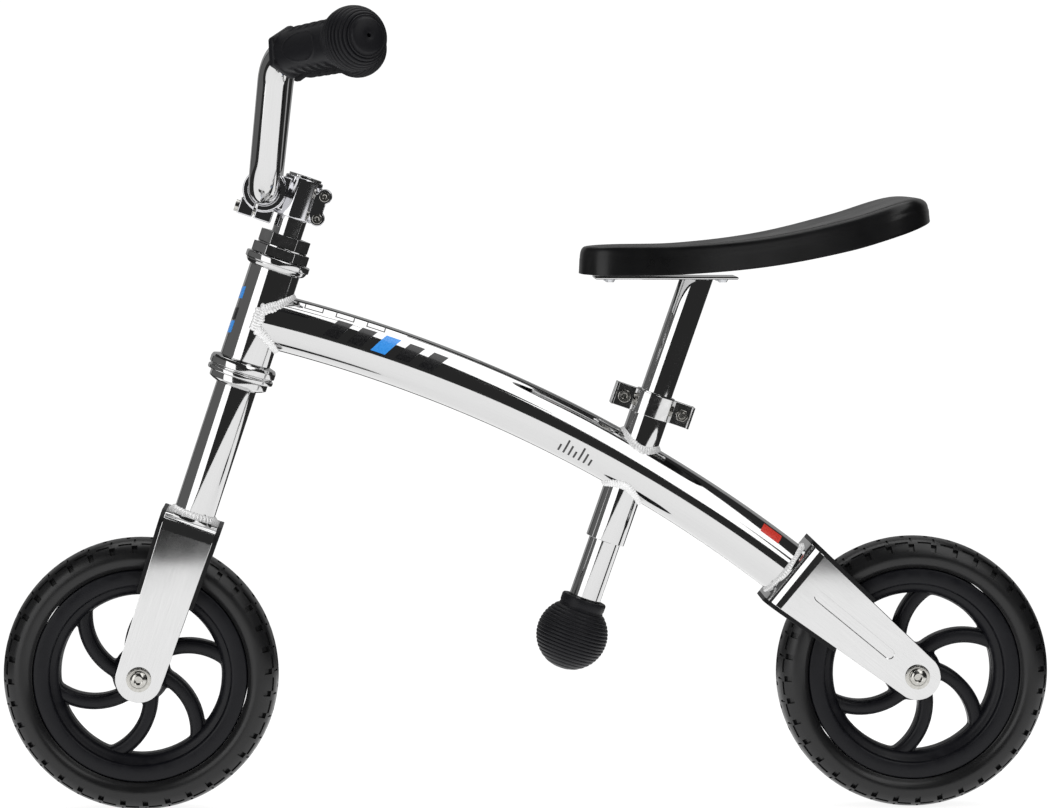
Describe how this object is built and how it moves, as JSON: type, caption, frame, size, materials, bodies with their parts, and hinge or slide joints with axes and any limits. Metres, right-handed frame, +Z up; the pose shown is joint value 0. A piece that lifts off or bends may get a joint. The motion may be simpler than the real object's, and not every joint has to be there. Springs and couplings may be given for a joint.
{
  "type": "balance bike",
  "caption": "Child's balance bike: arched polished tube frame, U-bracket fork, small spoked wheels with solid tyres, bent handlebar and a moulded seat on a long sliding post.",
  "frame": {"origin": "on the ground midway between the two wheels, under the main tube", "axes": "+X towards the rear wheel, +Y towards the bike's right-hand side, +Z up; the rider faces -X"},
  "size_m": [0.765, 0.366, 0.5806],
  "materials": {
    "polished_aluminium": "mirror polished",
    "satin_aluminium": "satin brushed",
    "weld": "polished weld beads",
    "chrome": "polished chrome",
    "steel_fastener": "nickel plated",
    "bearing_steel": "ground",
    "black_plastic": "satin moulded",
    "seat_plastic": "semi gloss moulded",
    "tyre_rubber": "matte foam rubber",
    "grip_rubber": "matte rubber"
  },
  "bodies": {
    "frame": {"main_tube": "polished_aluminium", "head_tube": "polished_aluminium", "seat_tube": "polished_aluminium", "head_tube_weld": "weld", "seat_tube_welds": "weld", "rear_bracket": "satin_aluminium", "rear_bracket_weld": "weld", "rear_finger_guard": "black_plastic", "headset_lower_cup": "chrome", "headset_upper_cup": "chrome", "seat_clamp_near_half": "polished_aluminium", "seat_clamp_far_half": "polished_aluminium", "seat_clamp_bolts": "steel_fastener", "seat_clamp_nuts": "steel_fastener", "rear_axle_bolt": "chrome", "rear_axle_nut": "chrome", "rear_axle_washers": "steel_fastener", "rear_axle_spacers": "steel_fastener"},
    "fork": {"fork_tube": "polished_aluminium", "fork_bracket": "satin_aluminium", "fork_bracket_weld": "weld", "fork_finger_guard": "black_plastic", "crown_race": "chrome", "lower_headset_balls": "bearing_steel", "upper_headset_balls": "bearing_steel", "adjusting_nut": "chrome", "lock_washer": "chrome", "locknut": "chrome", "front_axle_bolt": "chrome", "front_axle_nut": "chrome", "front_axle_washers": "steel_fastener", "front_axle_spacers": "steel_fastener"},
    "front_wheel": {"front_tyre": "tyre_rubber", "front_wheel_core": "black_plastic", "front_bearings": "bearing_steel"},
    "rear_wheel": {"rear_tyre": "tyre_rubber", "rear_wheel_core": "black_plastic", "rear_bearings": "bearing_steel"},
    "stem": {"stem_body": "polished_aluminium", "stem_cap": "chrome", "stem_clamp_bolts": "steel_fastener", "bar_clamp_bolt": "steel_fastener", "quill_post": "chrome", "quill_wedge": "steel_fastener", "quill_bolt": "steel_fastener"},
    "handlebar": {"handlebar_tube": "polished_aluminium", "left_grip": "grip_rubber", "right_grip": "grip_rubber"},
    "seat": {"seat_shell": "seat_plastic", "seat_plate": "satin_aluminium", "seat_screws": "steel_fastener", "seat_post": "polished_aluminium", "post_bumper": "grip_rubber"}
  },
  "joints": [
    {"name": "steering", "type": "hinge", "parent": "frame", "child": "fork", "pos_m": [-0.19538, 0, 0.36189], "axis": [0.3156, 0, 0.9489], "continuous": true},
    {"name": "front_wheel_spin", "type": "hinge", "parent": "fork", "child": "front_wheel", "pos_m": [-0.2825, 0, 0.1], "axis": [0, 1, 0], "continuous": true},
    {"name": "rear_wheel_spin", "type": "hinge", "parent": "frame", "child": "rear_wheel", "pos_m": [0.2825, 0, 0.1], "axis": [0, 1, 0], "continuous": true},
    {"name": "stem_height", "type": "slide", "parent": "fork", "child": "stem", "axis": [0.3156, 0, 0.9489], "range_m": [-0.004, 0.03]},
    {"name": "bar_tilt", "type": "hinge", "parent": "stem", "child": "handlebar", "pos_m": [-0.19148, 0, 0.45281], "axis": [0, 1, 0], "range_deg": [-20, 20]},
    {"name": "seat_height", "type": "slide", "parent": "frame", "child": "seat", "axis": [0.3256, 0, 0.9455], "range_m": [-0.068, 0.044]}
  ]
}
